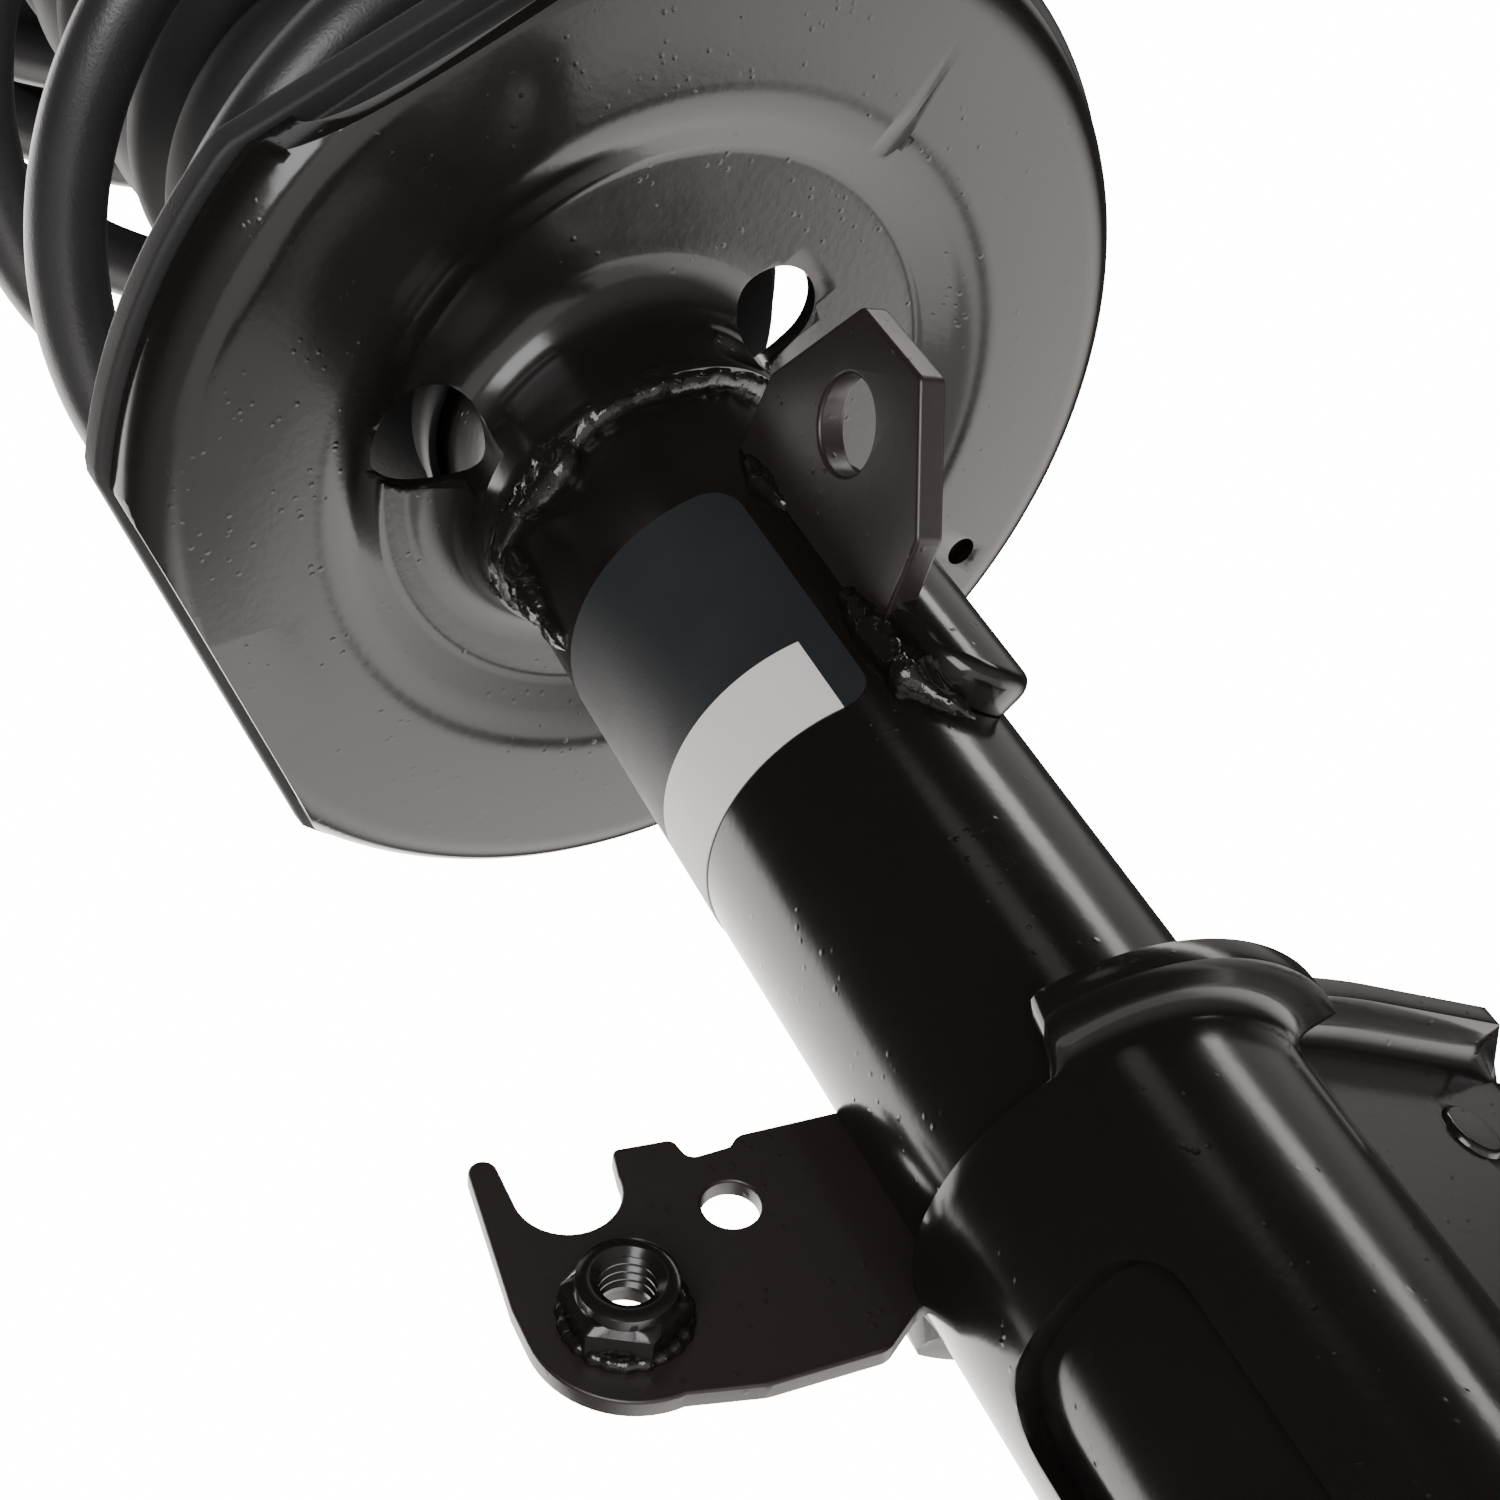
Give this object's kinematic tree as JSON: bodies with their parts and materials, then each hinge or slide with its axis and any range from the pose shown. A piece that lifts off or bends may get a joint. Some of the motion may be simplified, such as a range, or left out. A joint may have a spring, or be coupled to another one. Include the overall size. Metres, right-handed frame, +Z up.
{
  "type": "suspension strut assembly",
  "caption": "Coil-over suspension strut with damper tube, knuckle clevis bracket, lower spring seat, side brackets and studded top mount.",
  "frame": {"origin": "middle of the stud circle on the top mount's upper face, on the damper axis", "axes": "+Z up the damper axis, out through the studs; +X towards the knuckle bracket's two ears"},
  "size_m": [0.1724, 0.1723, 0.6015],
  "materials": {
    "mount_plate": "satin dark grey coat",
    "mount_lower_plate": "satin dark grey coat",
    "mount_rubber": "moulded, matt",
    "mount_core": "plain or zinc plated steel",
    "mount_studs": "plain or zinc plated steel",
    "rod_washer": "plain or zinc plated steel",
    "rod_nut": "plain or zinc plated steel",
    "bearing_upper_race": "glass filled plastic",
    "bearing_balls": "polished",
    "bearing_cage": "moulded",
    "bearing_lower_race": "glass filled plastic",
    "upper_spring_seat": "satin black paint",
    "upper_insulator": "moulded, matt",
    "coil_spring": "satin black powder coat",
    "dust_boot": "ribbed, matt",
    "bump_stop": "cellular foam, matt",
    "piston_rod": "hard chrome, polished",
    "rebound_stop": "moulded",
    "piston": "sintered steel, dull",
    "piston_band": "filled fluoropolymer",
    "piston_nut": "plain or zinc plated steel",
    "tube_cap": "plain or zinc plated steel",
    "rod_seal": "moulded",
    "rod_guide": "sintered steel, dull",
    "rod_bushing": "sliding bush",
    "pressure_tube": "plain or zinc plated steel",
    "base_valve": "sintered steel, dull",
    "strut_tube": "gloss black dip coat, light orange peel",
    "base_cap": "gloss black dip coat, light orange peel",
    "lower_spring_seat": "gloss black dip coat, light orange peel",
    "seat_weld": "lumpy weld bead under gloss black dip coat",
    "lower_insulator": "moulded, matt",
    "link_bracket": "gloss black dip coat, light orange peel",
    "link_weld": "lumpy weld bead under gloss black dip coat",
    "hose_bracket": "gloss black dip coat, light orange peel",
    "hose_weld_nut": "black dip coat over a plain weld nut",
    "hose_weld": "lumpy weld bead under gloss black dip coat",
    "knuckle_bracket": "gloss black dip coat, light orange peel",
    "knuckle_weld": "lumpy weld bead under gloss black dip coat",
    "tube_label": "matt dark film with one pale band, no lettering"
  },
  "bodies": {
    "top_mount": {"mount_plate": "mount_plate", "mount_lower_plate": "mount_lower_plate", "mount_rubber": "mount_rubber", "mount_core": "mount_core", "mount_studs": "mount_studs", "rod_washer": "rod_washer", "rod_nut": "rod_nut", "bearing_upper_race": "bearing_upper_race", "bump_stop": "bump_stop", "piston_rod": "piston_rod", "rebound_stop": "rebound_stop", "piston": "piston", "piston_band": "piston_band", "piston_nut": "piston_nut"},
    "ball_cage": {"bearing_cage": "bearing_cage", "bearing_balls": "bearing_balls"},
    "upper_seat": {"bearing_lower_race": "bearing_lower_race", "upper_spring_seat": "upper_spring_seat", "upper_insulator": "upper_insulator", "coil_spring": "coil_spring", "dust_boot": "dust_boot"},
    "strut_body": {"tube_cap": "tube_cap", "rod_seal": "rod_seal", "rod_guide": "rod_guide", "rod_bushing": "rod_bushing", "pressure_tube": "pressure_tube", "base_valve": "base_valve", "strut_tube": "strut_tube", "base_cap": "base_cap", "lower_spring_seat": "lower_spring_seat", "seat_weld": "seat_weld", "lower_insulator": "lower_insulator", "link_bracket": "link_bracket", "link_weld": "link_weld", "hose_bracket": "hose_bracket", "hose_weld_nut": "hose_weld_nut", "hose_weld": "hose_weld", "knuckle_bracket": "knuckle_bracket", "knuckle_weld": "knuckle_weld", "tube_label": "tube_label"}
  },
  "joints": [
    {"name": "cage_roll", "type": "hinge", "parent": "top_mount", "child": "ball_cage", "pos_m": [0, 0, -0.0225], "axis": [0, 0, 1], "range_deg": [-19, 19]},
    {"name": "mount_swivel", "type": "hinge", "parent": "top_mount", "child": "upper_seat", "pos_m": [0, 0, -0.0225], "axis": [0, 0, 1], "range_deg": [-38, 38]},
    {"name": "damper_stroke", "type": "slide", "parent": "upper_seat", "child": "strut_body", "axis": [0, 0, 1], "range_m": [0, 0.135], "stiffness_N_per_m": 22000, "deforming": ["coil_spring", "dust_boot"]}
  ],
  "couplings": [
    {"joint": "cage_roll", "follows": "mount_swivel", "ratio": 0.5}
  ]
}
